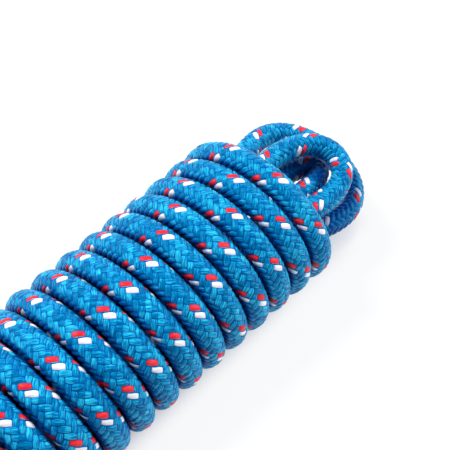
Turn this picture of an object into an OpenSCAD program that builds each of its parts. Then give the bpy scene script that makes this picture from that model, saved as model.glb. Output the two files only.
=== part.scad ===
// A length of dynamic climbing rope, put away as a wrapped hank.
// The rope lies in three long loops. Its last run turns under the far end of the hank and is
// wound round the loops in close wraps, back to the near end. There the tail comes up through
// the eyes of the loops and lies over them, beside the other end of the rope.
// Each rope end is cut square, fused and sleeved, and its sheath and core are separate pieces.
// +X runs to the far end, +Z is up, and the hank lies on Z = 0 with its box centred on X and Y.

/* [Rope] */
// Diameter of the rope over its sheath
rope_d = 10; // [8:0.25:10.5]
// Wall of the woven sheath
sheath_wall = 1; // [0.8:0.1:1.2]
// Yarns twisted into one core strand
strand_yarns = 3; // [3:1:4]
// Length of rope in which a core strand turns once
strand_lay = 24; // [18:1:40]

/* [Hank] */
// Number of wraps round the loops
wraps = 18; // [8:1:24]
// Space between one wrap and the next
wrap_gap = 0.5; // [0.45:0.05:1.5]
// Space between two neighbouring runs of the loops
run_gap = 0.5; // [0.45:0.05:1.5]
// Space between the loops and the wraps that hold them
hold_gap = 0.8; // [0.5:0.1:3]
// Share by which the hank is drawn in at its middle
waist = 0.07; // [0.05:0.01:0.1]

/* [Loops] */
// Reach of the upper loop past the wraps at the far end
upper_reach = 30; // [28:1:40]
// Reach of the inner loop past the wraps at the far end
inner_reach = 28.5; // [22:0.5:28.5]
// Reach of the outer loop past the wraps at the far end
outer_reach = 39; // [39:1:50]
// Reach of the three loops past the wraps at the near end
near_reach = 38; // [36:1:48]

/* [Rope ends] */
// Straight length at each rope end whose core is modelled
end_len = 34; // [28:1:45]
// Length of the shrunk sleeve on each rope end
sleeve_len = 24; // [16:1:26]
// Wall of the shrunk sleeve
sleeve_wall = 0.5; // [0.3:0.1:0.8]
// Thickness of the fused seal on each rope end
seal_t = 1.6; // [1:0.1:2.5]

/* [Hidden] */
strands = 7; // one in the middle and six round it

sides = 6;                          // sides of a wound tube
wrap_rings = 24;                    // rings in one wrap
fold_steps = 8;                     // steps round one fold of a loop
run_steps = 4;                      // steps along one run of a loop

rope_r = rope_d / 2;
flat = rope_d / 10;                 // depth of the flat that the hank lies on
pitch = rope_d + wrap_gap;          // from one wrap to the next
step = rope_d + run_gap;            // from one run to the next

// Places of the runs at the waist, across and up from the middle of the hank
upper_l = [0.5, 1] * step;
upper_r = [-1.38, 0.5] * step;
inner_l = [0.515, 0] * step;
inner_r = [-0.515, 0] * step;
outer_l = [1.39, 0.48] * step;
outer_r = [-1.38, -0.5] * step;
last_near = [0.9, -1] * step;
last_far = [0, -1] * step;

// The room that the wraps leave for the runs is an ellipse
room_ratio = 0.76;
runs = [upper_l, upper_r, inner_l, inner_r, outer_l, outer_r, last_near, last_far];
room_w = max([for (p = runs) norm([p.x, p.y / room_ratio])]) + hold_gap - run_gap;
spread = 1 / (1 - waist);                               // of the hank's ends over its waist
wrap_w = (room_w + step) * spread;                      // to the middle of the rope, at the ends
wrap_h = (room_w * room_ratio + step) * spread;

// Places along the hank
lead = 0.2 * rope_d;                                    // from the wraps to the start of a fold
wrap_len = wraps * pitch;
tuck_x = 2 * step;                                      // from the near folds' start to the tail
tail_x = tuck_x + 1.7 * step;                           // from there to the tail's straight end
reach_near = lead + tail_x + rope_d + end_len;
reach_far = lead + outer_reach + rope_r;
far_x = (wrap_len + reach_near - reach_far) / 2;        // puts the middle of the box on X = 0
near_x = far_x - wrap_len;
far_fold = far_x + lead;
near_fold = near_x - lead;

// How much the hank is drawn in at x: 1 at the ends of the wraps, less between them
function drawn(x) = 1 - waist * (1 - pow(min(1, abs(2 * (x - far_x) / wrap_len + 1)), 2));

// Height of the middle of the hank at x, where every wrap lies on the ground
function mid_z(x) = wrap_h * drawn(x) + rope_r - flat;

// Point of the wraps, t turns from under the far end
function wrap_at(t) = let (x = far_x - pitch * t)
    [x, -wrap_w * drawn(x) * sin(360 * t), mid_z(x) - wrap_h * drawn(x) * cos(360 * t)];
function wrap_heading(t) = unit(wrap_at(t + 0.01) - wrap_at(t - 0.01));

function unit(v) = v / norm(v);

// Point at x of a run that lies at place p, which draws in with the wraps
function run_at(p, x) = [x, p.x * spread * drawn(x), mid_z(x) + p.y * spread * drawn(x)];

// Points between the ends of a run from place p at x0 to place q at x1
function run(p, q, x0, x1) = [for (i = [1 : run_steps - 1]) let (t = i / run_steps)
    run_at(p + (q - p) * t, x0 + (x1 - x0) * t)];

// Points of a fold from place p to place q. It starts at x0 and reaches on by reach, a signed
// length. Its sides swell by swell, its tip lies off to one side by side, and its two shoulders
// lie at the heights in rise, all three in steps.
function fold(p, q, x0, reach, swell, side, rise) =
    let (mid = (p + q) / 2 * spread, half = (p - q) / 2 * spread)
    [for (i = [0 : fold_steps]) let (a = 180 * i / fold_steps, s = sin(a), c = cos(a))
        [x0 + reach * s,
         mid.x + half.x * c + sign(half.x) * swell * step * 2 * s * c + side * step * s,
         mid_z(x0) + (mid.y + half.y * c) * (1 - s)
            + (rise[0] * (1 + c) + rise[1] * (1 - c)) / 2 * step * s]];

// Points between p, left along v, and q, reached along w
function link(p, v, q, w, steps) = [for (i = [1 : steps - 1]) let (t = i / steps, u = 1 - t)
    u * u * u * p + 3 * u * u * t * (p + v) + 3 * u * t * t * (q - w) + t * t * t * q];

// The start of the rope, beside the upper loop at the near end
start_joint = [near_fold - near_reach + 0.52 * step, 1.62 * step, mid_z(near_fold) + 1.62 * step];
start_bend = start_joint + [rope_d, 0, 0];
start_run = run_at(upper_l, near_fold);

// Middle of the last run, where the loops hand over to the wraps
half_run = run_at((last_near + last_far) / 2, (far_fold + near_fold) / 2);
half_way = rope_d * unit(run_at(last_far, far_fold) - run_at(last_near, near_fold));

loops_route = concat([start_joint, start_bend],
    link(start_bend, [1.2 * step, 0, 0], start_run, [1.2 * step, 0, 0], 4), [start_run],
    run(upper_l, upper_l, near_fold, far_fold),
    fold(upper_l, upper_r, far_fold, upper_reach, 0.3, -0.2, [1.2, 0.4]),
    run(upper_r, upper_r, far_fold, near_fold),
    fold(upper_r, inner_l, near_fold, -near_reach, 0.82, -0.05, [1.35, 0.4]),
    run(inner_l, inner_l, near_fold, far_fold),
    fold(inner_l, inner_r, far_fold, inner_reach, 0.11, -0.17, [-0.26, -0.13]),
    run(inner_r, inner_r, far_fold, near_fold),
    fold(inner_r, outer_l, near_fold, -near_reach, 0.92, 0.2, [-0.5, -0.15]),
    run(outer_l, outer_l, near_fold, far_fold),
    fold(outer_l, outer_r, far_fold, outer_reach, 0.93, 0.06, [0.03, -1.12]),
    run(outer_r, outer_r, far_fold, near_fold),
    fold(outer_r, last_near, near_fold, -near_reach, 0.6, 0, [-1.65, -1.3]),
    [run_at(last_near * 0.75 + last_far * 0.25, near_fold + (far_fold - near_fold) / 4)],
    [half_run - half_way, half_run]);

// The wraps, from the last run to the tail
turn_in = run_at(last_far, far_x - 0.8 * step);
first_t = 0.06;
last_t = wraps - 0.1;
wrap_steps = round((last_t - first_t) * wrap_rings);
tuck_low = [near_fold - tuck_x, 0, mid_z(near_fold) - 0.5 * step];
tuck_mid = tuck_low + [0, 0, rope_d];
wraps_route = concat([half_run, half_run + half_way],
    [run_at(last_near * 0.25 + last_far * 0.75, far_fold - (far_fold - near_fold) / 4), turn_in],
    link(turn_in, [2.3 * step, 0, -0.2 * step], wrap_at(first_t), 2 * step * wrap_heading(first_t), 8),
    [for (i = [0 : wrap_steps]) wrap_at(first_t + (last_t - first_t) * i / wrap_steps)],
    link(wrap_at(last_t), 2 * step * wrap_heading(last_t), tuck_low, [0, 0, 1.7 * step], 7),
    [tuck_low, tuck_mid]);

// The tail, up through the eyes of the loops and over them
tail_joint = [near_fold - tail_x - rope_d, tuck_low.y, mid_z(near_fold) + 1.95 * step];
tail_bend = tail_joint + [rope_d, 0, 0];
tuck_high = tuck_mid + [0, 0, rope_d];
tail_route = concat([tuck_mid, tuck_high],
    link(tuck_high, [0, 0, 0.8 * step], tail_bend, [-0.8 * step, 0, 0], 4), [tail_bend, tail_joint]);

// The rope ends. The core strands fill the sheath's bore from the wound rope to the seal.
core_gap = 0.05 * rope_d / 10;      // between the strands, and between them and the sheath
shrink_gap = 0.05;                  // between the sleeve and the sheath
bore_r = rope_r - sheath_wall;
strand_r = (bore_r - 2 * core_gap) / 3;
core_len = end_len - seal_t;
strand_slices = 14;
yarn_points = 4 * strand_yarns;
yarn_outline = [for (k = [0 : yarn_points - 1]) let (a = 360 * k / yarn_points)
    strand_r * (0.85 + 0.15 * cos(strand_yarns * a)) * [cos(a), sin(a)]];

// ----- Measures -----

function after_first(r) = [for (i = [1 : len(r) - 1]) r[i]];
whole_route = concat(loops_route, after_first(wraps_route), after_first(tail_route));

// Gap from point p to the rope between points a and b
function gap_to(p, a, b) = let (t = max(0, min(1, (p - a) * (b - a) / ((b - a) * (b - a)))))
    norm(p - a - t * (b - a)) - rope_d;

// Least gap of a route to itself, from three points in each of its segments. Stretches that are
// only a few rings away along the rope are left out, and so are those too far off to matter.
rings_apart = 6;
longest = 6 * rope_d;               // between two rings of a run, with some room
function least_gap(r) = min([for (i = [0 : len(r) - 2]) for (j = [0 : len(r) - 2])
    if (abs(i - j) > rings_apart && norm(r[i] - r[j]) < longest)
        min([for (t = [0, 1/3, 2/3]) gap_to(r[i] + t * (r[i + 1] - r[i]), r[j], r[j + 1])])]);
function route_len(r) = sum([for (i = [1 : len(r) - 1]) norm(r[i] - r[i - 1])]);
function sum(v) = v * [for (x = v) 1];

union() {
    echo(rope_length = route_len(whole_route) + 2 * end_len);
    echo(least_gap_of_rope_to_itself = least_gap(whole_route));
}

// ----- Wound rope -----

// Directions of a route at its points
function headings(r) = let (n = len(r))
    [for (i = [0 : n - 1]) unit(r[min(i + 1, n - 1)] - r[max(i - 1, 0)])];

// Cross directions along a route, which turn no more than the route does
function crossings(h) = [for (i = 0, u = unit(cross(h[0], [0.1, 0.2, 1])); i < len(h);
    i = i + 1, u = i < len(h) ? unit(u - (u * h[i]) * h[i]) : u) u];

// One unbroken tube along a route
module wound(route) {
    h = headings(route);
    u = crossings(h);
    last = len(route) - 1;
    points = [for (i = [0 : last]) for (k = [0 : sides - 1]) let (a = 360 * k / sides)
        route[i] + rope_r * (cos(a) * u[i] + sin(a) * cross(h[i], u[i]))];
    walls = [for (i = [0 : last - 1]) for (k = [0 : sides - 1])
        let (a = i * sides + k, b = i * sides + (k + 1) % sides)
        each [[a, b, b + sides], [a, b + sides, a + sides]]];
    ends = [for (k = [1 : sides - 2]) let (a = last * sides) each [[0, k + 1, k], [a, a + k, a + k + 1]]];
    polyhedron(points, concat(walls, ends));
}

// ----- Rope ends, each drawn from its joint towards -X -----

module along_end(length) translate([-length, 0, 0]) rotate([0, 90, 0]) children();

module end_sheath() along_end(core_len) difference() {
    cylinder(h = core_len, r = rope_r, $fn = 48);
    translate([0, 0, -1]) cylinder(h = core_len + 2, r = bore_r, $fn = 48);
}

module end_strand(i) {
    a = 60 * i;
    out = i == 1 ? 0 : 2 * strand_r + core_gap;
    turn = 360 * core_len / strand_lay * (i % 2 == 0 ? 1 : -1);
    translate([0, out * cos(a), out * sin(a)]) along_end(core_len)
        linear_extrude(core_len, twist = turn, slices = strand_slices) polygon(yarn_outline);
}

module end_seal() along_end(end_len) rotate_extrude($fn = 48)
    polygon([[0, 0], [rope_r - 0.6 * seal_t, 0], [rope_r - 0.2 * seal_t, 0.2 * seal_t],
        [rope_r, 0.6 * seal_t], [rope_r, seal_t], [0, seal_t]]);

module end_sleeve() along_end(core_len) difference() {
    cylinder(h = sleeve_len, r = rope_r + shrink_gap + sleeve_wall, $fn = 48);
    translate([0, 0, -1]) cylinder(h = sleeve_len + 2, r = rope_r + shrink_gap, $fn = 48);
}

// ----- Sub-parts -----

module inner_loops() color("dodgerblue") wound(loops_route);

module wrapping_turns() color("royalblue") difference() {
    wound(wraps_route);
    translate([far_x - 2 * wrap_len, -2 * wrap_w, -rope_d]) cube([3 * wrap_len, 4 * wrap_w, rope_d]);
}

module tail() color("deepskyblue") wound(tail_route);

module start_end(piece) translate(start_joint) rope_end(piece);
module tail_end(piece) translate(tail_joint) rope_end(piece);

module rope_end(piece) {
    if (piece == "sheath") color("royalblue") end_sheath();
    if (piece == "sleeve") color("black") end_sleeve();
    if (piece == "seal") color("midnightblue") end_seal();
    for (i = [1 : strands]) if (piece == str("strand_", i)) color("white") end_strand(i);
}

inner_loops();
wrapping_turns();
tail();
for (piece = concat(["sheath", "sleeve", "seal"], [for (i = [1 : strands]) str("strand_", i)])) {
    start_end(piece);
    tail_end(piece);
}
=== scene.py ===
import math
import bpy
import numpy as np
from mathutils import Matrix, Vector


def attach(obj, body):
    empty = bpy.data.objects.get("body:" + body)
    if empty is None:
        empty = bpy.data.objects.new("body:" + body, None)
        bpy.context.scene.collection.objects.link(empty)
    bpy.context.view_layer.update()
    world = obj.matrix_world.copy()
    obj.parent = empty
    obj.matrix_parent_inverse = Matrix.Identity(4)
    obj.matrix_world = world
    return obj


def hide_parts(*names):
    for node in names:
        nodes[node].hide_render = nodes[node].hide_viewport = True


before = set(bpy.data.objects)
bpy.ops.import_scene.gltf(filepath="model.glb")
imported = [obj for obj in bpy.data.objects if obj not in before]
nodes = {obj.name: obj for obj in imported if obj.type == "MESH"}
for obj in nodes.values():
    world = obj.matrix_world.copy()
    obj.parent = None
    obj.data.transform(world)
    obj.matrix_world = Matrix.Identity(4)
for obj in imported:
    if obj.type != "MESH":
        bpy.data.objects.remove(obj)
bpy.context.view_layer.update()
print("frame loaded,", len(nodes), "nodes")


# helpers for building node trees
def addNode(tree, kind, inputs=None, **settings):
    node = tree.nodes.new(kind)
    for name, value in settings.items():
        setattr(node, name, value)
    for key, value in (inputs or {}).items():
        socket = node.inputs[key]
        if isinstance(value, bpy.types.NodeSocket):
            tree.links.new(value, socket)
        else:
            socket.default_value = value
    return node


def calc(tree, operation, a, b=0.0, c=None):
    inputs = {0: a, 1: b}
    if c is not None:
        inputs[2] = c
    return addNode(tree, "ShaderNodeMath", inputs, operation=operation).outputs[0]


def vec(tree, operation, a, b=None, scale=None):
    inputs = {0: a}
    if b is not None:
        inputs[1] = b
    if scale is not None:
        inputs["Scale"] = scale
    node = addNode(tree, "ShaderNodeVectorMath", inputs, operation=operation)
    return node.outputs["Value" if operation in ("DOT_PRODUCT", "LENGTH", "DISTANCE") else "Vector"]


def addSockets(tree, sockets):
    for direction, name, kind, value in sockets:
        socket = tree.interface.new_socket(name, in_out=direction, socket_type=kind)
        if value is not None:
            socket.default_value = value


def nodeTree(name, kind, sockets):
    tree = bpy.data.node_groups.new(name, kind)
    addSockets(tree, sockets)
    return tree, tree.nodes.new("NodeGroupInput").outputs, tree.nodes.new("NodeGroupOutput")


view = dict(place=(-0.02965, -0.11933, 0.26443), aim=(0.4317, 0.4177, -0.7995), lens=64.5)

camera = bpy.data.objects.new("camera", bpy.data.cameras.new("camera"))
bpy.context.scene.collection.objects.link(camera)
camera.location = view["place"]
camera.rotation_mode = "QUATERNION"
camera.rotation_quaternion = Vector(view["aim"]).to_track_quat("-Z", "Y")
camera.data.lens = view["lens"]
camera.data.clip_start = 0.01
bpy.context.scene.camera = camera
print("camera set")


# The way of the rope through the hank, in millimetres, as the solids have it.

hank = dict(rope=10, pitch=10.5, runGap=0.5, wraps=18, waist=0.07, ratio=0.76, hold=0.8, lead=2, flat=1,
            farX=113.925, upperReach=30, innerReach=28.5, outerReach=39, nearReach=38, endLength=34, seal=1.6)
# where the runs lie, how the folds swell, shift and rise, and the bends' places and pulls, all in steps
places = dict(upperL=(0.5, 1), upperR=(-1.38, 0.5), innerL=(0.515, 0), innerR=(-0.515, 0),
              outerL=(1.39, 0.48), outerR=(-1.38, -0.5), lastNear=(0.9, -1), lastFar=(0, -1))
folds = dict(upper=dict(swell=0.3, side=-0.2, rise=(1.2, 0.4)),
             upperToInner=dict(swell=0.82, side=-0.05, rise=(1.35, 0.4)),
             inner=dict(swell=0.11, side=-0.17, rise=(-0.26, -0.13)),
             innerToOuter=dict(swell=0.92, side=0.2, rise=(-0.5, -0.15)),
             outer=dict(swell=0.93, side=0.06, rise=(0.03, -1.12)),
             outerToLast=dict(swell=0.6, side=0, rise=(-1.65, -1.3)))
bends = dict(startIn=0.52, startUp=1.62, startPull=1.2, turnIn=0.8, turnPull=2.3, turnDrop=0.2, wrapPull=2,
             tuckOut=2, tuckDrop=0.5, tuckPull=1.7, tailPull=0.8, tailOut=3.7, tailUp=1.95)
turns = dict(skipFirst=0.06, skipLast=0.1, points=60)

step = hank["rope"] + hank["runGap"]
places = {name: np.array(p) * step for name, p in places.items()}
spread = 1 / (1 - hank["waist"])
roomW = max(math.hypot(p[0], p[1] / hank["ratio"]) for p in places.values()) + hank["hold"] - hank["runGap"]
wrapW = (roomW + step) * spread
wrapH = (roomW * hank["ratio"] + step) * spread
wrapLength = hank["wraps"] * hank["pitch"]
farX = hank["farX"]
nearX = farX - wrapLength
farFold, nearFold = farX + hank["lead"], nearX - hank["lead"]


def drawn(x):
    return 1 - hank["waist"] * (1 - min(1, abs(2 * (x - farX) / wrapLength + 1)) ** 2)


def midZ(x):
    return wrapH * drawn(x) + hank["rope"] / 2 - hank["flat"]


def wrapAt(t):
    x, a = farX - hank["pitch"] * t, 2 * math.pi * t
    return np.array([x, -wrapW * drawn(x) * math.sin(a), midZ(x) - wrapH * drawn(x) * math.cos(a)])


def wrapHeading(t, reach=0.01):
    way = wrapAt(t + reach) - wrapAt(t - reach)
    return way / np.linalg.norm(way)


def runAt(place, x):
    return np.array([x, place[0] * spread * drawn(x), midZ(x) + place[1] * spread * drawn(x)])


def runPoints(a, b, xa, xb, steps=24):
    return [runAt(a + (b - a) * i / steps, xa + (xb - xa) * i / steps) for i in range(1, steps)]


def foldPoints(a, b, x, reach, swell, side, rise, steps=32):
    mid, half = (a + b) / 2 * spread, (a - b) / 2 * spread
    points = []
    for i in range(steps + 1):
        s, c = math.sin(math.pi * i / steps), math.cos(math.pi * i / steps)
        lift = (rise[0] * (1 + c) + rise[1] * (1 - c)) / 2 * step * s
        points.append(np.array([
            x + reach * s,
            mid[0] + half[0] * c + math.copysign(1, half[0]) * swell * step * 2 * s * c + side * step * s,
            midZ(x) + (mid[1] + half[1] * c) * (1 - s) + lift]))
    return points


def linkPoints(p, v, q, w, steps=20):
    p, v, q, w = (np.array(n, float) for n in (p, v, q, w))
    ts = [i / steps for i in range(1, steps)]
    return [(1 - t) ** 3 * p + 3 * (1 - t) ** 2 * t * (p + v) + 3 * (1 - t) * t * t * (q - w) + t ** 3 * q
            for t in ts]


def ropeWay():
    p = places
    startUp, endReach = bends["startUp"] * step, hank["endLength"] - hank["seal"]
    startPull, wrapPull = [bends["startPull"] * step, 0, 0], bends["wrapPull"] * step
    startJoint = np.array([nearFold - hank["nearReach"] + bends["startIn"] * step, startUp, midZ(nearFold) + startUp])
    startBend = startJoint + [hank["rope"], 0, 0]
    startRun = runAt(p["upperL"], nearFold)
    halfRun = runAt((p["lastNear"] + p["lastFar"]) / 2, (farFold + nearFold) / 2)
    turnIn = runAt(p["lastFar"], farX - bends["turnIn"] * step)
    near, far, nearReach = nearFold, farFold, -hank["nearReach"]
    way = [startJoint - [endReach, 0, 0], startJoint, startBend]
    way += linkPoints(startBend, startPull, startRun, startPull) + [startRun]
    way += runPoints(p["upperL"], p["upperL"], near, far)
    way += foldPoints(p["upperL"], p["upperR"], far, hank["upperReach"], **folds["upper"])
    way += runPoints(p["upperR"], p["upperR"], far, near)
    way += foldPoints(p["upperR"], p["innerL"], near, nearReach, **folds["upperToInner"])
    way += runPoints(p["innerL"], p["innerL"], near, far)
    way += foldPoints(p["innerL"], p["innerR"], far, hank["innerReach"], **folds["inner"])
    way += runPoints(p["innerR"], p["innerR"], far, near)
    way += foldPoints(p["innerR"], p["outerL"], near, nearReach, **folds["innerToOuter"])
    way += runPoints(p["outerL"], p["outerL"], near, far)
    way += foldPoints(p["outerL"], p["outerR"], far, hank["outerReach"], **folds["outer"])
    way += runPoints(p["outerR"], p["outerR"], far, near)
    way += foldPoints(p["outerR"], p["lastNear"], near, nearReach, **folds["outerToLast"])
    way += [runAt(p["lastNear"] * 0.75 + p["lastFar"] * 0.25, near + (far - near) / 4), halfRun,
            runAt(p["lastNear"] * 0.25 + p["lastFar"] * 0.75, far - (far - near) / 4), turnIn]
    wrapsFrom = len(way)
    firstT, lastT = turns["skipFirst"], hank["wraps"] - turns["skipLast"]
    way += linkPoints(turnIn, [bends["turnPull"] * step, 0, -bends["turnDrop"] * step], wrapAt(firstT),
                      wrapPull * wrapHeading(firstT))
    count = round((lastT - firstT) * turns["points"])
    way += [wrapAt(firstT + (lastT - firstT) * i / count) for i in range(count + 1)]
    tuckLow = np.array([near - bends["tuckOut"] * step, 0, midZ(near) - bends["tuckDrop"] * step])
    tuckHigh = tuckLow + [0, 0, 2 * hank["rope"]]
    way += linkPoints(wrapAt(lastT), wrapPull * wrapHeading(lastT), tuckLow, [0, 0, bends["tuckPull"] * step])
    way += [tuckLow]
    tailFrom = len(way)
    tailPull = bends["tailPull"] * step
    tailJoint = np.array([near - bends["tailOut"] * step - hank["rope"], 0, midZ(near) + bends["tailUp"] * step])
    tailBend = tailJoint + [hank["rope"], 0, 0]
    way += [tuckHigh] + linkPoints(tuckHigh, [0, 0, tailPull], tailBend, [-tailPull, 0, 0])
    way += [tailBend, tailJoint, tailJoint - [endReach, 0, 0]]
    return np.array(way), wrapsFrom, tailFrom


def evenly(points, gap):
    lengths = np.concatenate([[0], np.cumsum(np.linalg.norm(np.diff(points, axis=0), axis=1))])
    at = np.linspace(0, lengths[-1], round(lengths[-1] / gap) + 1)
    return np.stack([np.interp(at, lengths, points[:, k]) for k in range(3)], 1)


def eased(points, reach, times):
    for _ in range(times):                       # a short running mean, which leaves the two ends where they are
        out = points.copy()
        for k in range(1, reach + 1):
            out[reach:-reach] += points[reach - k:-reach - k] + points[reach + k:len(points) - reach + k]
        points = np.concatenate([points[:reach], out[reach:-reach] / (2 * reach + 1), points[-reach:]])
    return points


rough, wrapsFrom, tailFrom = ropeWay()
ropeWayPoints = eased(evenly(rough, gap=1.0), reach=3, times=3) / 1000
lengths = np.concatenate([[0], np.cumsum(np.linalg.norm(np.diff(ropeWayPoints, axis=0), axis=1))])
ropeLength = float(lengths[-1])


def lengthAt(point):
    return float(lengths[np.argmin(np.linalg.norm(ropeWayPoints - np.array(point) / 1000, axis=1))])


wrapsStart, tailStart = lengthAt(rough[wrapsFrom]), lengthAt(rough[tailFrom])
print("rope laid out,", round(ropeLength, 3), "m, wraps from", round(wrapsStart, 3), "tail from", round(tailStart, 3))

wayCurve = bpy.data.curves.new("ropeWay", "CURVE")
wayCurve.dimensions = "3D"
spline = wayCurve.splines.new("POLY")
spline.points.add(len(ropeWayPoints) - 1)
spline.points.foreach_set("co", np.hstack([ropeWayPoints, np.ones((len(ropeWayPoints), 1))]).ravel())
wayObject = bpy.data.objects.new("ropeWay", wayCurve)
bpy.context.scene.collection.objects.link(wayObject)


# The sheath is braided from two sets of yarns, each passing over two and under two.

braid = dict(lay=0.019793, core=0.0042, yarn=0.00048, fineness=4, edge=0.12, squeeze=0.0017, crowding=2.6,
             slant=0.15, phase=0.97, twist=2.248, shadeReach=0.003, overhead=0.014, seed=7, weld=0.000005)
yarns = dict(perWay=8, white=7, red=0)
# how a bend, felt over a span each way, flattens and widens the sheath
bending = dict(span=0.004, most=0.2, mostCrowded=0.09, widened=0.45, flattened=-1.45)
# how dark the painted shade from stretches that pass overhead makes each length, and how much more on the side that
# faces them
overheadShade = dict(loops_1=dict(amount=0.9, sided=1.0), loops_2=dict(amount=1.2, sided=0.0),
               loops_3=dict(amount=1.0, sided=1.7))
noOverheadShade = dict(amount=0.0, sided=1.0)
# where the painted shade starts and is full, by its attribute, and for overhead by the share of that distance
shade = dict(start=0.4, full=1.4, most=0.85, tone=0.8, overFrom=0.98, overFull=0.58)


def braidTree():
    tree, given, result = nodeTree("braidedSheath", "GeometryNodeTree", [
        ("INPUT", "Way", "NodeSocketObject", None), ("INPUT", "From", "NodeSocketFloat", None),
        ("INPUT", "To", "NodeSocketFloat", None), ("INPUT", "Lay", "NodeSocketFloat", braid["lay"]),
        ("INPUT", "Core", "NodeSocketFloat", braid["core"]), ("INPUT", "Yarn", "NodeSocketFloat", braid["yarn"]),
        ("INPUT", "Fineness", "NodeSocketInt", braid["fineness"]),
        ("INPUT", "Squeeze", "NodeSocketFloat", braid["squeeze"]),
        ("INPUT", "Edge", "NodeSocketFloat", braid["edge"]),
        ("INPUT", "Crowding", "NodeSocketFloat", braid["crowding"]),
        ("INPUT", "Slant", "NodeSocketFloat", braid["slant"]), ("INPUT", "Phase", "NodeSocketFloat", braid["phase"]),
        ("INPUT", "Twist", "NodeSocketFloat", braid["twist"]),
        ("INPUT", "Shade reach", "NodeSocketFloat", braid["shadeReach"]),
        ("INPUT", "Overhead", "NodeSocketFloat", braid["overhead"]),
        ("INPUT", "Covered", "NodeSocketFloat", None), ("INPUT", "Sided", "NodeSocketFloat", None),
        ("INPUT", "Seed", "NodeSocketInt", braid["seed"]), ("INPUT", "White yarn", "NodeSocketInt", yarns["white"]),
        ("INPUT", "Red yarn", "NodeSocketInt", yarns["red"]), ("INPUT", "Blue finish", "NodeSocketMaterial", None),
        ("INPUT", "Red finish", "NodeSocketMaterial", None), ("INPUT", "White finish", "NodeSocketMaterial", None),
        ("OUTPUT", "Geometry", "NodeSocketGeometry", None)])
    perWay = yarns["perWay"]

    def n(operation, a, b=0.0, c=None):
        return calc(tree, operation, a, b, c)

    way = addNode(tree, "GeometryNodeObjectInfo", {"Object": given["Way"]}).outputs["Geometry"]

    # a flat grid, one unit to a yarn each way, with x across one set of yarns and y across the other
    cell = n("DIVIDE", given["Lay"], 2.0 * perWay)
    low = n("SUBTRACT", n("FLOOR", n("DIVIDE", given["From"], cell)), float(perWay))
    high = n("CEIL", n("DIVIDE", given["To"], cell))
    size = n("SUBTRACT", high, low)
    grid = addNode(tree, "GeometryNodeMeshGrid", {
        "Size X": float(perWay), "Size Y": size,
        "Vertices X": n("MULTIPLY_ADD", given["Fineness"], float(perWay), 1.0),
        "Vertices Y": n("MULTIPLY_ADD", given["Fineness"], size, 1.0)}).outputs["Mesh"]
    place = addNode(tree, "GeometryNodeInputPosition").outputs[0]
    centre = addNode(tree, "ShaderNodeCombineXYZ", {"X": perWay / 2, "Y": n("MULTIPLY", n("ADD", high, low), 0.5)})
    even = addNode(tree, "ShaderNodeSeparateXYZ", {0: vec(tree, "ADD", place, centre.outputs[0])}).outputs

    def edged(a):                                 # draws the grid's lines towards the edges of each yarn
        return n("SUBTRACT", a, n("MULTIPLY", n("SINE", n("MULTIPLY", a, 2 * math.pi)), given["Edge"]))

    drawnTo = addNode(tree, "ShaderNodeCombineXYZ", {"X": edged(even["X"]), "Y": edged(even["Y"])}).outputs[0]
    kept = addNode(tree, "GeometryNodeStoreNamedAttribute", {
        "Geometry": grid, "Name": "lattice", "Value": drawnTo},
        data_type="FLOAT_VECTOR", domain="POINT").outputs[0]
    lattice = addNode(tree, "GeometryNodeInputNamedAttribute", {"Name": "lattice"},
                      data_type="FLOAT_VECTOR").outputs["Attribute"]
    part = addNode(tree, "ShaderNodeSeparateXYZ", {0: lattice}).outputs
    p, q = part["X"], part["Y"]
    onFace = addNode(tree, "GeometryNodeFieldOnDomain", {0: lattice}, data_type="FLOAT_VECTOR", domain="FACE")
    facePart = addNode(tree, "ShaderNodeSeparateXYZ", {0: onFace.outputs[0]}).outputs
    faceP, faceQ = facePart["X"], facePart["Y"]

    def upper(a, b):                              # 1 where a yarn of the first set passes over, in twos
        turn = n("FLOORED_MODULO", n("SUBTRACT", n("FLOOR", b), n("FLOOR", a)), 4.0)
        return n("LESS_THAN", turn, 1.5)

    def dome(a):                                  # round across a yarn, and a little flat on top
        across = n("ABSOLUTE", n("MULTIPLY_ADD", n("FRACT", a), 2.0, -1.0))
        return n("SQRT", n("MAXIMUM", n("SUBTRACT", 1.0, n("POWER", across, 3.0)), 0.0))

    def arch(a, b, back):                         # along a float, which dives under at both its ends
        along = n("ABSOLUTE", n("SUBTRACT", n("FLOORED_MODULO", n("SUBTRACT", a, n("FLOOR", b)), 4.0), back))
        return n("MAXIMUM", n("SUBTRACT", 1.0, n("POWER", along, 5.0)), 0.0)

    firstOver = upper(p, q)
    first = n("MULTIPLY", dome(p), arch(q, p, 1.0))
    second = n("MULTIPLY", dome(q), arch(p, q, 2.0))
    relief = n("MULTIPLY_ADD", n("SUBTRACT", first, second), firstOver, second)

    # a point lies round the rope by the difference of its two numbers, and along it by their sum
    around = n("SUBTRACT", p, q)
    tilt = n("MULTIPLY", n("COSINE", n("MULTIPLY", around, math.pi)), n("MULTIPLY", given["Slant"], 0.5))
    along = n("MULTIPLY", n("ADD", p, q), cell)
    angle = n("MULTIPLY_ADD", n("ADD", around, tilt), math.pi / perWay, given["Phase"])
    angle = n("MULTIPLY_ADD", along, given["Twist"], angle)

    def sample(length):
        node = addNode(tree, "GeometryNodeSampleCurve", {"Curves": way, "Length": length}, mode="LENGTH",
                       use_all_curves=True)
        return node.outputs

    here = sample(along)
    before, after = sample(n("SUBTRACT", along, bending["span"])), sample(n("ADD", along, bending["span"]))
    side = vec(tree, "CROSS_PRODUCT", here["Tangent"], here["Normal"])
    bend = vec(tree, "SCALE", vec(tree, "SUBTRACT", after["Tangent"], before["Tangent"]),
               scale=n("DIVIDE", given["Squeeze"], 2 * bending["span"]))
    much = n("MINIMUM", vec(tree, "LENGTH", bend), bending["most"])
    inward = vec(tree, "NORMALIZE", bend)
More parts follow.
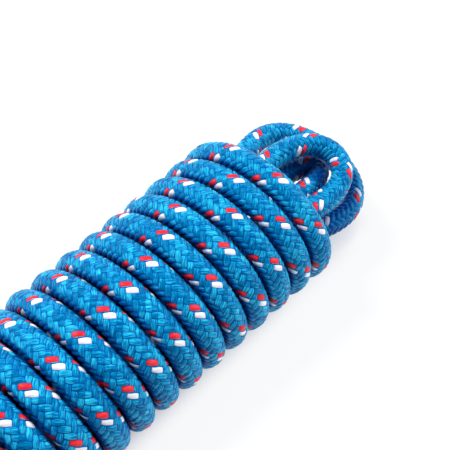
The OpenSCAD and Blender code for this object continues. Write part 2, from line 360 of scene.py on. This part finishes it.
    # outside a bend the braid is drawn long and narrow, so its yarns crowd there
    crowded = n("MULTIPLY", n("MINIMUM", much, bending["mostCrowded"]), given["Crowding"])
    lean = n("SUBTRACT", n("MULTIPLY", n("COSINE", angle), vec(tree, "DOT_PRODUCT", inward, side)),
             n("MULTIPLY", n("SINE", angle), vec(tree, "DOT_PRODUCT", inward, here["Normal"])))
    angle = n("SUBTRACT", angle, n("MULTIPLY", lean, crowded))
    out = vec(tree, "ADD", vec(tree, "SCALE", here["Normal"], scale=n("COSINE", angle)),
              vec(tree, "SCALE", side, scale=n("SINE", angle)))
    pressed = n("MULTIPLY", n("MULTIPLY", vec(tree, "DOT_PRODUCT", out, inward), much), bending["flattened"])
    out = vec(tree, "ADD", vec(tree, "SCALE", out, scale=n("MULTIPLY_ADD", much, bending["widened"], 1.0)),
              vec(tree, "SCALE", inward, scale=pressed))

    # how close another stretch of the rope lies, where light hardly reaches between the two; the sheath gets painted
    # shade there
    reach = n("ADD", n("ADD", given["Core"], given["Yarn"]), given["Shade reach"])
    middles = addNode(tree, "GeometryNodeCurveToMesh", {"Curve": way}).outputs[0]

    def toMiddles(point):
        return addNode(tree, "GeometryNodeProximity", {"Target": middles, "Source Position": point},
                       target_element="EDGES").outputs["Distance"]

    nearest = toMiddles(vec(tree, "ADD", here["Position"], vec(tree, "SCALE", out, scale=reach)))
    between = n("DIVIDE", n("SUBTRACT", reach, nearest), given["Shade reach"])
    # the loops get painted shade where the stretches that pass above them lie
    raised = addNode(tree, "ShaderNodeCombineXYZ", {"Z": given["Overhead"]}).outputs[0]
    sideways = vec(tree, "SCALE", out, scale=n("MULTIPLY", given["Core"], given["Sided"]))
    above = toMiddles(vec(tree, "ADD", vec(tree, "ADD", here["Position"], raised), sideways))
    under = addNode(tree, "ShaderNodeMapRange", {
        "Value": n("DIVIDE", above, given["Overhead"]), "From Min": shade["overFrom"], "From Max": shade["overFull"],
        "To Max": given["Covered"]}, interpolation_type="SMOOTHSTEP").outputs[0]
    between = n("MAXIMUM", between, n("ADD", under, shade["start"]))

    radius = n("MULTIPLY_ADD", relief, given["Yarn"], given["Core"])
    point = vec(tree, "ADD", here["Position"], vec(tree, "SCALE", out, scale=radius))
    rested = vec(tree, "MAXIMUM", point, (-9.0, -9.0, 0.0))   # never below the floor

    faceAlong = n("MULTIPLY", n("ADD", faceP, faceQ), cell)
    outside = n("ADD", n("LESS_THAN", faceAlong, given["From"]),
                n("SUBTRACT", 1.0, n("LESS_THAN", faceAlong, given["To"])))
    faceFirst = upper(faceP, faceQ)
    runWay = n("MULTIPLY_ADD", n("SUBTRACT", q, p), faceFirst, p)
    crossWay = n("MULTIPLY_ADD", n("SUBTRACT", p, q), faceFirst, q)
    yarnPlace = addNode(tree, "ShaderNodeCombineXYZ", {"X": runWay, "Y": crossWay}).outputs[0]
    shape = addNode(tree, "GeometryNodeStoreNamedAttribute", {
        "Geometry": kept, "Name": "relief", "Value": relief}, data_type="FLOAT", domain="POINT").outputs[0]
    shape = addNode(tree, "GeometryNodeStoreNamedAttribute", {
        "Geometry": shape, "Name": "between", "Value": between}, data_type="FLOAT", domain="POINT").outputs[0]
    shape = addNode(tree, "GeometryNodeStoreNamedAttribute", {
        "Geometry": shape, "Name": "yarnPlace", "Value": yarnPlace}, data_type="FLOAT2", domain="CORNER").outputs[0]

    # each float has a number of its own, which picks its lustre, a random tone that stands in for its sheen: painted
    # sheen
    pair = n("FLOOR", n("MULTIPLY_ADD", n("SUBTRACT", n("FLOOR", faceQ), n("FLOOR", faceP)), 0.5, 0.01))
    floatNumber = n("ADD", n("MULTIPLY", pair, 97.0), n("FLOOR", n("MULTIPLY_ADD", n(
        "SUBTRACT", faceQ, faceP), faceFirst, faceP)))
    lustre = addNode(tree, "FunctionNodeRandomValue", {"ID": floatNumber, "Seed": given["Seed"]}, data_type="FLOAT")
    shape = addNode(tree, "GeometryNodeStoreNamedAttribute", {
        "Geometry": shape, "Name": "lustre", "Value": lustre.outputs[1]}, data_type="FLOAT", domain="FACE").outputs[0]
    shape = addNode(tree, "GeometryNodeSetPosition", {"Geometry": shape, "Position": rested}).outputs[0]
    shape = addNode(tree, "GeometryNodeDeleteGeometry", {"Geometry": shape, "Selection": outside},
                    domain="FACE").outputs[0]
    shape = addNode(tree, "GeometryNodeMergeByDistance", {"Geometry": shape, "Distance": braid["weld"]}).outputs[0]
    shape = addNode(tree, "GeometryNodeSetShadeSmooth", {"Geometry": shape}).outputs[0]
    shape = addNode(tree, "GeometryNodeRealizeInstances", {"Geometry": shape}).outputs[0]
    shape = addNode(tree, "GeometryNodeSetMaterial", {"Geometry": shape, "Material": given["Blue finish"]}).outputs[0]
    yarnNumber = n("FLOORED_MODULO", n("FLOOR", faceP), float(perWay))
    for name, yarn in (("Red finish", "Red yarn"), ("White finish", "White yarn")):
        same = n("COMPARE", yarnNumber, given[yarn], 0.1)
        shape = addNode(tree, "GeometryNodeSetMaterial", {
            "Geometry": shape, "Selection": n("MULTIPLY", same, faceFirst), "Material": given[name]}).outputs[0]
    tree.links.new(shape, result.inputs[0])
    return tree


def braided(name, tree, start, end, finishes):
    holder = bpy.data.objects.new(name, bpy.data.meshes.new(name))
    bpy.context.scene.collection.objects.link(holder)
    modifier = holder.modifiers.new("braid", "NODES")
    modifier.node_group = tree
    sockets = {item.name: item.identifier for item in tree.interface.items_tree if item.in_out == "INPUT"}
    overhead = overheadShade.get(name.removeprefix("rope_"), noOverheadShade)
    values = {"Way": wayObject, "From": start, "To": end, "Covered": overhead["amount"], "Sided": overhead["sided"],
              "Blue finish": finishes[0], "Red finish": finishes[1], "White finish": finishes[2]}
    for key, value in values.items():
        modifier[sockets[key]] = value
    holder.update_tag()
    bpy.context.view_layer.update()
    depsgraph = bpy.context.evaluated_depsgraph_get()
    mesh = bpy.data.meshes.new_from_object(holder.evaluated_get(depsgraph), preserve_all_data_layers=True,
                                           depsgraph=depsgraph)
    holder.modifiers.clear()
    old = holder.data
    mesh.materials.pop(index=0)                   # the grid's own empty slot
    holder.data = mesh
    bpy.data.meshes.remove(old)
    mesh.name = name
    return holder


# how the fibres of a yarn show in its colour, roughness and height; the colour also carries painted sheen, painted
# highlights and painted shade in the grooves
spun = dict(bundles=(0.7, 4.5, 1.0), fibres=(0.9, 16.0, 1.0), detail=2.0, rough=0.6, grooveTo=0.5, fibreShare=0.6,
            paleTo=1.6, mostTone=1.1, glossSpread=0.3, fibreHeight=0.4, bump=0.6, bumpDepth=0.0001)


def yarnEffect():
    tree, given, result = nodeTree("spunYarn", "ShaderNodeTree", [
        ("INPUT", "Colour", "NodeSocketColor", None), ("INPUT", "Pale", "NodeSocketColor", None),
        ("INPUT", "Groove", "NodeSocketColor", None), ("INPUT", "Fibre", "NodeSocketFloat", None),
        ("INPUT", "Unevenness", "NodeSocketFloat", None), ("INPUT", "Gloss", "NodeSocketFloat", None),
        ("OUTPUT", "Colour", "NodeSocketColor", None), ("OUTPUT", "Roughness", "NodeSocketFloat", None),
        ("OUTPUT", "Height", "NodeSocketFloat", None)])
    place = addNode(tree, "ShaderNodeUVMap", uv_map="yarnPlace").outputs[0]

    def stored(name):
        return addNode(tree, "ShaderNodeAttribute", attribute_name=name).outputs["Fac"]

    def streaks(stretch):
        return addNode(tree, "ShaderNodeTexNoise", {
            "Vector": vec(tree, "MULTIPLY", place, stretch), "Scale": 1.0, "Detail": spun["detail"],
            "Roughness": spun["rough"]}).outputs[0]

    def varied(tone, value, share):
        return calc(tree, "MULTIPLY_ADD", calc(tree, "SUBTRACT", value, 0.5), share, tone)

    bundles, fibres = streaks(spun["bundles"]), streaks(spun["fibres"])
    # painted shade in the grooves between yarns: the colour turns to Groove where the relief is low
    depth = addNode(tree, "ShaderNodeMapRange", {"Value": stored("relief"), "From Max": spun["grooveTo"]},
                    interpolation_type="SMOOTHSTEP").outputs[0]
    # fibre streaks and each float's lustre vary the tone at random and stand in for sheen, painted sheen; above 1 the
    # colour turns towards Pale, a painted highlight
    tone = varied(1.0, bundles, given["Fibre"])
    tone = varied(tone, fibres, calc(tree, "MULTIPLY", given["Fibre"], spun["fibreShare"]))
    tone = varied(tone, stored("lustre"), given["Unevenness"])
    pale = addNode(tree, "ShaderNodeMapRange", {
        "Value": tone, "From Min": 1.0, "From Max": spun["paleTo"]}).outputs[0]
    body = addNode(tree, "ShaderNodeMix", {
        "Factor": pale, "A": given["Colour"], "B": given["Pale"]}, data_type="RGBA")
    lit = vec(tree, "SCALE", body.outputs["Result"], scale=calc(tree, "MINIMUM", tone, spun["mostTone"]))
    mixed = addNode(tree, "ShaderNodeMix", {"Factor": depth, "A": given["Groove"], "B": lit}, data_type="RGBA")
    # painted shade where another stretch lies close or passes overhead, by the between attribute, towards a darkened
    # Groove colour
    paintedShade = addNode(tree, "ShaderNodeMapRange", {
        "Value": stored("between"), "From Min": shade["start"], "From Max": shade["full"], "To Max": shade["most"]},
        interpolation_type="SMOOTHSTEP").outputs[0]
    paintedShadeColour = vec(tree, "SCALE", given["Groove"], scale=shade["tone"])
    shaded = addNode(tree, "ShaderNodeMix", {"Factor": paintedShade, "A": mixed.outputs["Result"], "B": paintedShadeColour},
                     data_type="RGBA")
    tree.links.new(shaded.outputs["Result"], result.inputs["Colour"])
    tree.links.new(varied(given["Gloss"], bundles, spun["glossSpread"]), result.inputs["Roughness"])
    tree.links.new(calc(tree, "MULTIPLY_ADD", fibres, spun["fibreHeight"], bundles), result.inputs["Height"])
    return tree


def finish(name, **fixed):
    material = bpy.data.materials.new(name)
    material.use_nodes = True
    shader = material.node_tree.nodes["Principled BSDF"]
    for socket, value in fixed.items():
        shader.inputs[socket.replace("_", " ")].default_value = value
    return material, material.node_tree, shader


def sheathFinish(name, tint, shine, effect, **values):
    material, tree, shader = finish(name, IOR=1.5, Specular_IOR_Level=shine, Specular_Tint=tint)
    yarn = addNode(tree, "ShaderNodeGroup", node_tree=effect)
    for key, value in values.items():
        yarn.inputs[key.capitalize()].default_value = value
    bump = addNode(tree, "ShaderNodeBump", {
        "Strength": spun["bump"], "Distance": spun["bumpDepth"], "Height": yarn.outputs["Height"]})
    tree.links.new(yarn.outputs["Colour"], shader.inputs["Base Color"])
    tree.links.new(yarn.outputs["Roughness"], shader.inputs["Roughness"])
    tree.links.new(bump.outputs[0], shader.inputs["Normal"])
    return material


# each yarn's own colour; pale is a painted highlight colour and groove a painted shade colour
colours = dict(
    blue=dict(colour=(0.0, 0.18, 0.455, 1), pale=(0.03, 0.54, 0.71, 1), groove=(0.0, 0.043, 0.3, 1),
              tint=(0.0, 0.8, 1.0, 1), shine=0.3, fibre=2.2, unevenness=0.5, gloss=0.4),
    red=dict(colour=(0.78, 0.015, 0.03, 1), pale=(0.9, 0.08, 0.09, 1), groove=(0.2, 0.004, 0.02, 1),
             tint=(1.0, 0.5, 0.5, 1), shine=0.4, fibre=0.7, unevenness=0.2, gloss=0.45),
    white=dict(colour=(0.84, 0.82, 0.88, 1), pale=(0.92, 0.9, 0.94, 1), groove=(0.25, 0.32, 0.5, 1),
               tint=(1.0, 1.0, 1.0, 1), shine=0.4, fibre=0.35, unevenness=0.1, gloss=0.5))
effect = yarnEffect()
sheathFinishes = [sheathFinish("sheath_" + name, effect=effect, **colours[name]) for name in ("blue", "red", "white")]
print("finishes made")

# The rope is made in lengths that follow on from each other.

cuts = dict(loopParts=3, turnsPerPart=4, pathStep=4, margin=0.001)
loopEnds = [wrapsStart * i / cuts["loopParts"] for i in range(cuts["loopParts"] + 1)]
wrapEnds = [lengthAt(wrapAt(t)) for t in range(cuts["turnsPerPart"], hank["wraps"], cuts["turnsPerPart"])]
allEnds = loopEnds + wrapEnds + [tailStart, ropeLength + cuts["margin"]]
names = ["loops_%d" % (i + 1) for i in range(cuts["loopParts"])]
names += ["wraps_%d" % (i + 1) for i in range(len(wrapEnds) + 1)] + ["tail"]
sheathTree = braidTree()
ropePieces = []
for name, start, end in zip(names, allEnds[:-1], allEnds[1:]):
    piece = braided("rope_" + name, sheathTree, start, end, sheathFinishes)
    first, last = np.searchsorted(lengths, [start, min(end, ropeLength) - 1e-6])
    picks = np.linspace(first, min(last, len(lengths) - 1), (last - first) // cuts["pathStep"] + 2)
    ropePieces.append((piece, ropeWayPoints[picks.round().astype(int)].tolist()))
    print(piece.name, round(start, 3), round(end, 3), len(piece.data.polygons) * 2, "triangles")
bpy.data.objects.remove(wayObject)

solids = dict(loops=["inner_loops", "start_sheath"], wraps=["wrapping_turns"], tail=["tail", "tail_sheath"])
for piece, way in ropePieces:
    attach(piece, "root")
    kind = piece.name.split("_")[1]
    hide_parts(*solids[kind])
print("rope braided")


def grained(name, colour, scale, roughness, strength, distance, stretch=(1, 1, 1), **fixed):
    material, tree, shader = finish(name, **fixed)
    where = addNode(tree, "ShaderNodeTexCoord").outputs["Object"]
    noise = addNode(tree, "ShaderNodeTexNoise", {
        "Vector": vec(tree, "MULTIPLY", where, stretch), "Scale": scale, "Detail": 4.0}).outputs[0]
    tone = calc(tree, "MULTIPLY_ADD", noise, 0.5, 0.75)
    tree.links.new(vec(tree, "SCALE", colour, scale=tone), shader.inputs["Base Color"])
    tree.links.new(calc(tree, "MULTIPLY_ADD", noise, 0.2, roughness - 0.1), shader.inputs["Roughness"])
    bump = addNode(tree, "ShaderNodeBump", {"Strength": strength, "Distance": distance, "Height": noise})
    tree.links.new(bump.outputs[0], shader.inputs["Normal"])
    return material


endFinishes = dict(
    sleeve=grained("shrunk_sleeve", colour=(0.012, 0.012, 0.014), scale=900.0, roughness=0.5, strength=0.35,
                   distance=0.0001),
    seal=grained("fused_seal", colour=(0.004, 0.02, 0.07), scale=500.0, roughness=0.25, strength=0.5,
                 distance=0.0002, Coat_Weight=0.3),
    strand=grained("core_yarn", colour=(0.78, 0.78, 0.75), scale=900.0, roughness=0.55, strength=0.5,
                   distance=0.0001, stretch=(0.15, 1, 1)))
for name, node in nodes.items():
    kind = next((kind for kind in endFinishes if kind in name), None)
    if kind:
        node.data.materials.clear()
        node.data.materials.append(endFinishes[kind])
print("rope ends finished")

studio = dict(floor=3.0, whitening=0.85, floorColour=(0.97, 0.97, 0.97, 1), sky=0.3,
              skyColour=(0.75, 0.87, 1.0, 1), dimHalf=0.14, dimTo=0.014, clearFrom=0.03)
lamps = dict(key=dict(direction=(-0.17, 0.46, 0.84), distance=0.9, size=0.3, power=8.2),
             fill=dict(direction=(0.75, -0.35, 0.6), distance=1.0, size=0.5, power=6.5),
             side=dict(direction=(-0.8, 0.25, 0.45), distance=0.9, size=0.25, power=0.8))


def seen(tree):                                   # 1 where the background is looked at or mirrored
    rays = addNode(tree, "ShaderNodeLightPath").outputs
    mirrored = calc(tree, "MAXIMUM", rays["Is Glossy Ray"], rays["Is Transmission Ray"])
    return calc(tree, "MAXIMUM", rays["Is Camera Ray"], mirrored)


floorMesh = bpy.data.meshes.new("floor")
half = studio["floor"] / 2
floorMesh.from_pydata([(-half, -half, 0), (half, -half, 0), (half, half, 0), (-half, half, 0)], [], [(0, 1, 2, 3)])
floor = bpy.data.objects.new("floor", floorMesh)
bpy.context.scene.collection.objects.link(floor)
floorFinish, floorTree, floorShader = finish("floor", Base_Color=studio["floorColour"], Roughness=0.9,
                                             Specular_IOR_Level=0.0)
glow = addNode(floorTree, "ShaderNodeEmission", {"Color": (1, 1, 1, 1), "Strength": 1.0})
# the floor stays dim under the hank, where it shows between the loops
floorPlace = addNode(floorTree, "ShaderNodeTexCoord").outputs["Object"]
onFloor = addNode(floorTree, "ShaderNodeSeparateXYZ", {0: floorPlace}).outputs
beyondEnds = calc(floorTree, "SUBTRACT", calc(floorTree, "ABSOLUTE", onFloor["X"]), studio["dimHalf"])
away = addNode(floorTree, "ShaderNodeCombineXYZ", {
    "X": calc(floorTree, "MAXIMUM", beyondEnds, 0.0), "Y": onFloor["Y"]}).outputs[0]
clear = addNode(floorTree, "ShaderNodeMapRange", {
    "Value": vec(floorTree, "LENGTH", away), "From Min": studio["dimTo"], "From Max": studio["clearFrom"]},
    interpolation_type="SMOOTHSTEP").outputs[0]
whiten = calc(floorTree, "MULTIPLY", calc(floorTree, "MULTIPLY", seen(floorTree), studio["whitening"]), clear)
paper = addNode(floorTree, "ShaderNodeMixShader", {0: whiten, 1: floorShader.outputs[0], 2: glow.outputs[0]})
floorTree.links.new(paper.outputs[0], floorTree.nodes["Material Output"].inputs["Surface"])
floorMesh.materials.append(floorFinish)

world = bpy.data.worlds.new("studio")
bpy.context.scene.world = world
world.use_nodes = True
sky = world.node_tree.nodes["Background"]
sky.inputs["Color"].default_value = studio["skyColour"]
sky.inputs["Strength"].default_value = studio["sky"]
white = addNode(world.node_tree, "ShaderNodeBackground", {"Color": (1, 1, 1, 1), "Strength": 1.0})
backdrop = addNode(world.node_tree, "ShaderNodeMixShader", {0: seen(world.node_tree), 1: sky.outputs[0],
                                                            2: white.outputs[0]})
world.node_tree.links.new(backdrop.outputs[0], world.node_tree.nodes["World Output"].inputs["Surface"])


def lamp(name, direction, distance, size, power):
    light = bpy.data.lights.new(name, "AREA")
    light.shape, light.size, light.energy = "DISK", size, power
    lampObject = bpy.data.objects.new(name, light)
    bpy.context.scene.collection.objects.link(lampObject)
    way = Vector(direction).normalized()
    lampObject.location = way * distance
    lampObject.rotation_mode = "QUATERNION"
    lampObject.rotation_quaternion = way.to_track_quat("Z", "Y")


for name, settings in lamps.items():
    lamp(name, **settings)
bpy.context.scene.view_settings.view_transform = "Standard"
print("studio lit")
